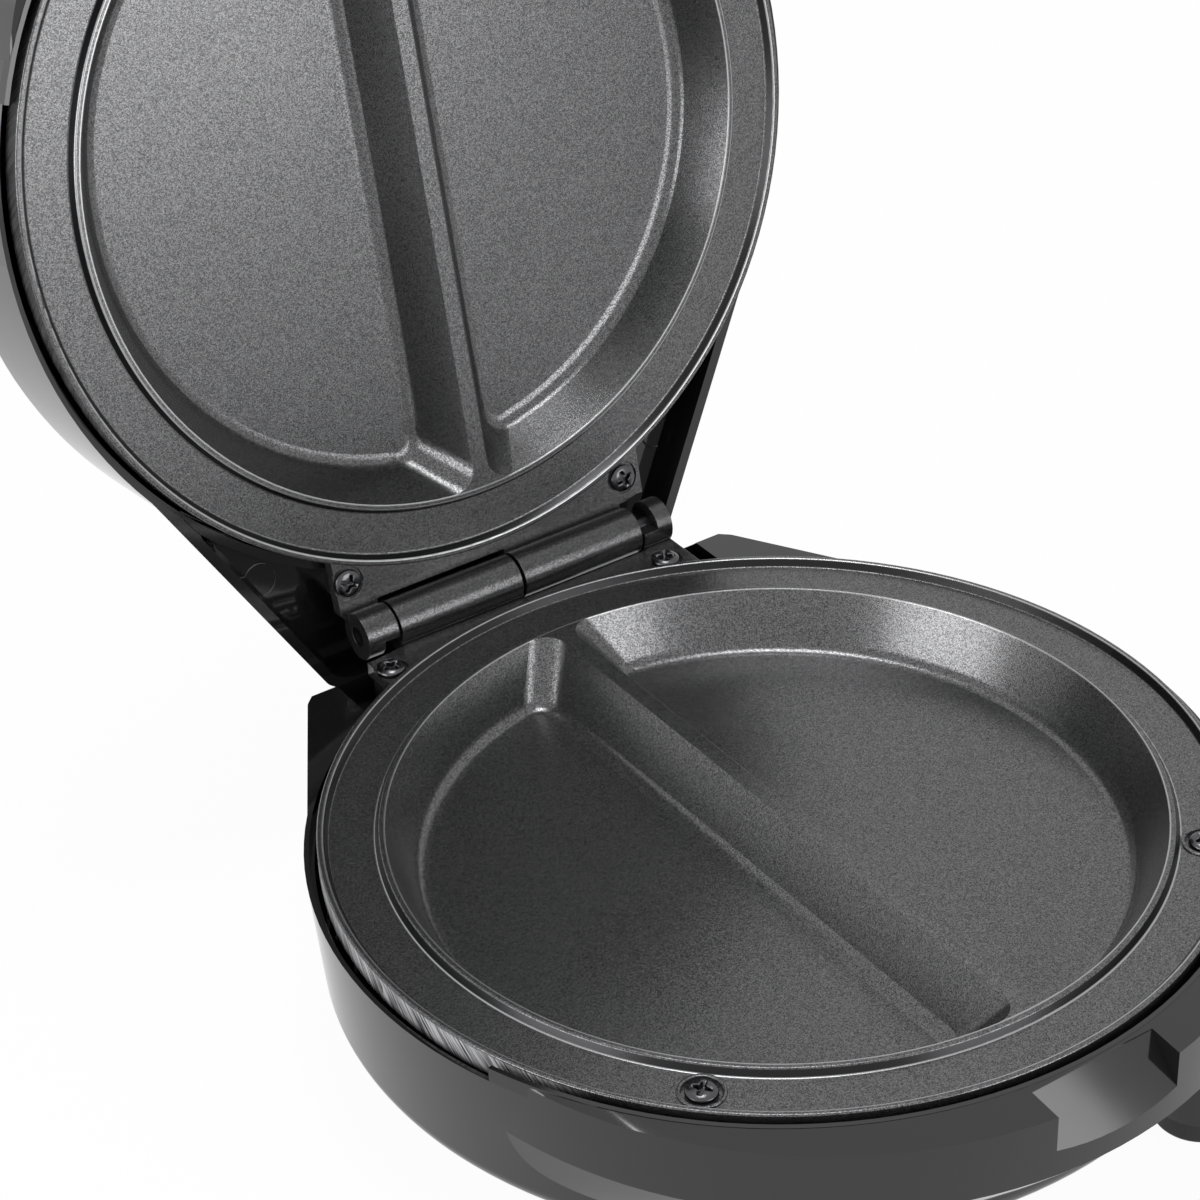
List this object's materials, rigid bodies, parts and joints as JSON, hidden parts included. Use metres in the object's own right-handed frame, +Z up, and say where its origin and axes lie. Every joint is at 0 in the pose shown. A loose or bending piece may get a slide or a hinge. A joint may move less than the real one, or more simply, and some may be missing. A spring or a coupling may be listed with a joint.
{
  "type": "omelette maker",
  "caption": "Round electric omelette maker with a hinged lid, facing non-stick plates with half-moon pockets, a glossy black casing, a front handle and rubber feet.",
  "frame": {"origin": "on the table, under the middle of the open appliance's overall box", "axes": "+Z up, -Y towards the front of the base, +X to the right seen from the front"},
  "size_m": [0.2112, 0.3138, 0.3121],
  "materials": {
    "casing": "glossy black moulding",
    "coated_plate": "charcoal non-stick coating with a fine metallic fleck, bare filed edge",
    "pin": "drawn steel",
    "black_screw": "black phosphated steel",
    "plain_screw": "zinc plated steel",
    "foot_rubber": "moulded rubber",
    "inlet_rubber": "moulded rubber",
    "element_sheath": "heat-stained steel tube",
    "sheet": "aluminised sheet steel",
    "phenolic": "brown phenolic moulding",
    "block": "off-white moulding",
    "fuse": "ceramic body",
    "handle": "satin black phenolic",
    "red_lens": "clear red moulding",
    "green_lens": "clear green moulding",
    "lamp": "small glass lamp"
  },
  "bodies": {
    "base": {"base_housing": "casing", "lower_plate": "coated_plate", "hinge_pin": "pin", "lower_plate_screws": "black_screw", "front_feet": "foot_rubber", "rear_feet": "foot_rubber", "lower_element": "element_sheath", "lower_element_clamps": "sheet", "lower_clamp_screws": "plain_screw", "lower_heat_shield": "sheet", "thermostat": "phenolic", "thermostat_bracket": "sheet", "thermostat_screws": "plain_screw", "thermal_fuse": "fuse", "fuse_clip": "sheet", "fuse_clip_screws": "plain_screw", "terminal_block": "block", "terminal_block_screw": "plain_screw", "cord_inlet": "inlet_rubber"},
    "lid": {"lid_housing": "casing", "upper_plate": "coated_plate", "upper_plate_screws": "black_screw", "upper_element": "element_sheath", "upper_element_clamps": "sheet", "upper_clamp_screws": "plain_screw", "upper_heat_shield": "sheet", "handle": "handle", "handle_screws": "plain_screw", "power_lens": "red_lens", "ready_lens": "green_lens", "indicator_lamps": "lamp", "lamp_sleeves": "inlet_rubber"}
  },
  "joints": [
    {"name": "lid_hinge", "type": "hinge", "parent": "base", "child": "lid", "pos_m": [0.003, 0.071, 0.053], "axis": [1, 0, 0], "range_deg": [0, 101.5]}
  ]
}
